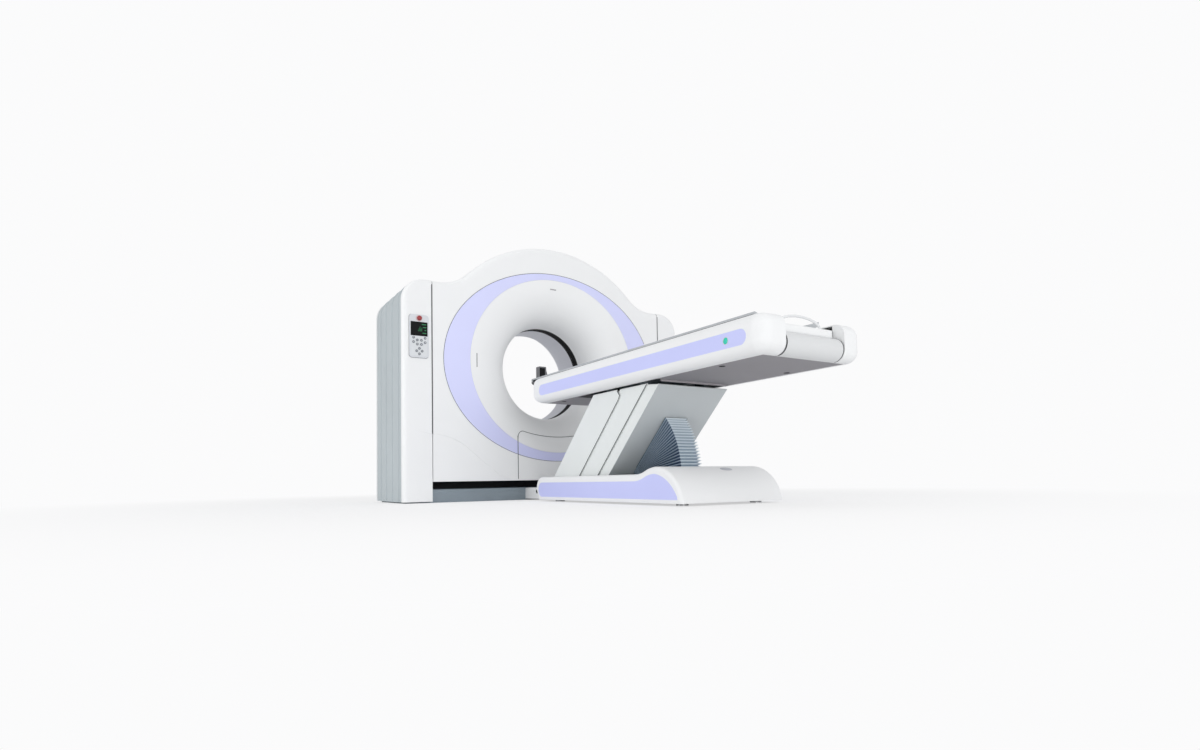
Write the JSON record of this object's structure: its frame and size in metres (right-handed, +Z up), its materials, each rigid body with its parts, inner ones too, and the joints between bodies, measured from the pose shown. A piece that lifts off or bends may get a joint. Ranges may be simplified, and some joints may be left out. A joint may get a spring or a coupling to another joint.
{
  "type": "ct scanner",
  "caption": "Hospital CT scanner: ring-shaped tilting gantry with a round patient bore between side columns, and a lifting patient table with a sliding cradle on a leaning arm.",
  "frame": {"origin": "on the floor, straight below the isocentre, where the bore axis meets the scan plane", "axes": "+Z up, +Y from the table through the bore, +X to the right as seen from the table"},
  "size_m": [2.26, 3.027, 1.8448],
  "materials": {
    "white_shell": "satin moulded cover",
    "lavender_trim": "satin tinted trim",
    "blue_stripe": "satin tinted inlay",
    "grey_panel": "matt paint",
    "frame_paint": "matt paint",
    "arm_sheet": "satin paint",
    "dark_plastic": "matt",
    "grey_plastic": "matt",
    "silver_liner": "satin",
    "bare_steel": "machined",
    "cast_frame": "painted casting",
    "aluminium": "anodised",
    "brass_rings": "turned",
    "belt_rubber": "ribbed",
    "bellows_skin": "coated fabric-like folds",
    "window_film": "dark film",
    "laser_lens": "tinted",
    "display_glass": "dark display",
    "red_button": "gloss",
    "key_rubber": "silicone",
    "cradle_board": "smooth laminate",
    "chrome_tube": "polished"
  },
  "bodies": {
    "base": {"gantry_base": "frame_paint", "left_stand": "frame_paint", "right_stand": "frame_paint", "left_column_front": "white_shell", "right_column_front": "white_shell", "left_side_panel": "grey_panel", "right_side_panel": "grey_panel", "left_column_rear": "white_shell", "right_column_rear": "white_shell", "tilt_gearbox": "cast_frame", "control_panel": "grey_plastic", "display": "display_glass", "keypad": "key_rubber", "bridge_cover": "grey_panel", "table_base_frame": "frame_paint", "table_base_cover": "white_shell", "base_stripes": "blue_stripe", "levelling_feet": "bare_steel", "fan_bellows": "bellows_skin"},
    "gantry": {"front_cover": "white_shell", "service_panel": "white_shell", "bore_funnel": "white_shell", "ring_trim": "lavender_trim", "laser_windows": "laser_lens", "window_band": "window_film", "rear_bore_liner": "silver_liner", "rear_cover": "white_shell", "tilt_frame": "cast_frame", "main_bearing": "bare_steel", "brush_block": "dark_plastic", "rotor_motor": "dark_plastic", "drive_belt": "belt_rubber", "sector_gear": "bare_steel"},
    "rotor": {"rotor_drum": "aluminium", "slip_ring": "brass_rings", "xray_tube": "aluminium", "collimator": "bare_steel", "detector_arc": "dark_plastic", "hv_generator": "frame_paint", "heat_exchanger": "frame_paint"},
    "pulley": {"motor_pulley": "bare_steel"},
    "pinion": {"tilt_pinion": "bare_steel"},
    "front_arm": {"front_link": "frame_paint", "arm_cover_front": "arm_sheet"},
    "mid_cover": {"arm_cover_mid": "arm_sheet"},
    "rear_arm": {"rear_link": "frame_paint", "arm_cover_rear": "arm_sheet"},
    "actuator": {"actuator_body": "aluminium"},
    "piston": {"actuator_rod": "bare_steel"},
    "table": {"table_frame": "frame_paint", "left_rail": "white_shell", "right_rail": "white_shell", "rail_stripes": "blue_stripe", "end_cover": "white_shell", "underside_cover": "grey_panel"},
    "cradle": {"cradle_board": "cradle_board", "cradle_tail": "white_shell", "loop_handle": "chrome_tube", "head_fitting": "grey_plastic"},
    "stop_button": {"emergency_stop": "red_button"}
  },
  "joints": [
    {"name": "gantry_tilt", "type": "hinge", "parent": "base", "child": "gantry", "pos_m": [0, 0, 0.95], "axis": [-1, 0, 0], "range_deg": [-30, 30]},
    {"name": "tilt_pinion_spin", "type": "hinge", "parent": "base", "child": "pinion", "pos_m": [0.962, 0, 0.638], "axis": [-1, 0, 0], "range_deg": [-105, 105]},
    {"name": "rotor_spin", "type": "hinge", "parent": "gantry", "child": "rotor", "pos_m": [0, 0, 0.95], "axis": [0, 1, 0], "continuous": true},
    {"name": "pulley_spin", "type": "hinge", "parent": "gantry", "child": "pulley", "pos_m": [-0.68, 0.1, 0.36], "axis": [0, 1, 0], "continuous": true},
    {"name": "table_lift", "type": "hinge", "parent": "base", "child": "front_arm", "pos_m": [0, -0.798, 0.11], "axis": [-1, 0, 0], "range_deg": [-25.5, 6.5], "deforming": ["fan_bellows"]},
    {"name": "rear_link_swing", "type": "hinge", "parent": "base", "child": "rear_arm", "pos_m": [0, -1.148, 0.11], "axis": [-1, 0, 0], "range_deg": [-25.5, 6.5]},
    {"name": "mid_cover_swing", "type": "hinge", "parent": "base", "child": "mid_cover", "pos_m": [0, -0.973, 0.11], "axis": [-1, 0, 0], "range_deg": [-25.5, 6.5]},
    {"name": "table_level", "type": "hinge", "parent": "front_arm", "child": "table", "pos_m": [0, -1.31447, 0.60011], "axis": [-1, 0, 0], "range_deg": [-6.5, 25.5]},
    {"name": "actuator_swing", "type": "hinge", "parent": "base", "child": "actuator", "pos_m": [0, -1.79, 0.08], "axis": [1, 0, 0], "range_deg": [-7.91, 2.02]},
    {"name": "piston_stroke", "type": "slide", "parent": "actuator", "child": "piston", "axis": [0, 0.9158, 0.4017], "range_m": [-0.0867, 0.0221]},
    {"name": "cradle_slide", "type": "slide", "parent": "table", "child": "cradle", "axis": [0, 1, 0], "range_m": [0, 1.5]},
    {"name": "emergency_stop_press", "type": "slide", "parent": "base", "child": "stop_button", "axis": [0, 1, 0], "range_m": [0, 0.005]}
  ],
  "couplings": [
    {"joint": "tilt_pinion_spin", "follows": "gantry_tilt", "ratio": -3.3333},
    {"joint": "pulley_spin", "follows": "rotor_spin", "ratio": 11.5},
    {"joint": "rear_link_swing", "follows": "table_lift", "ratio": 1},
    {"joint": "mid_cover_swing", "follows": "table_lift", "ratio": 1},
    {"joint": "table_level", "follows": "table_lift", "ratio": -1},
    {"joint": "actuator_swing", "follows": "table_lift", "ratio": 0.31},
    {"joint": "piston_stroke", "follows": "table_lift", "m_per_rad": 0.19481}
  ]
}
